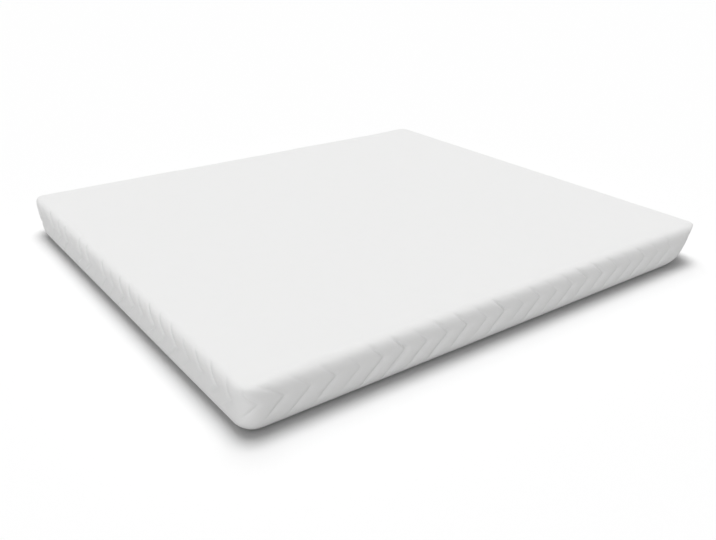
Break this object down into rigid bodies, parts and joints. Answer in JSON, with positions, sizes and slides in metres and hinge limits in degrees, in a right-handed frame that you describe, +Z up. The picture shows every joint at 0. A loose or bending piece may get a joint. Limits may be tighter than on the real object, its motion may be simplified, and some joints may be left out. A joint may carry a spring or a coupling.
{
  "type": "hybrid mattress",
  "caption": "Low rectangular hybrid mattress in a white knit cover, with a smooth soft-edged top and chevron-quilted sides, for a double bed frame.",
  "frame": {"origin": "middle of the base, where the mattress rests", "axes": "+X along the 2000 mm length, +Y across the 1800 mm width, +Z up through the 150 mm thickness"},
  "size_m": [2, 1.8, 0.15],
  "materials": {
    "cover": "matt white knit"
  },
  "bodies": {
    "root": {"mattress": "cover"}
  },
  "joints": []
}
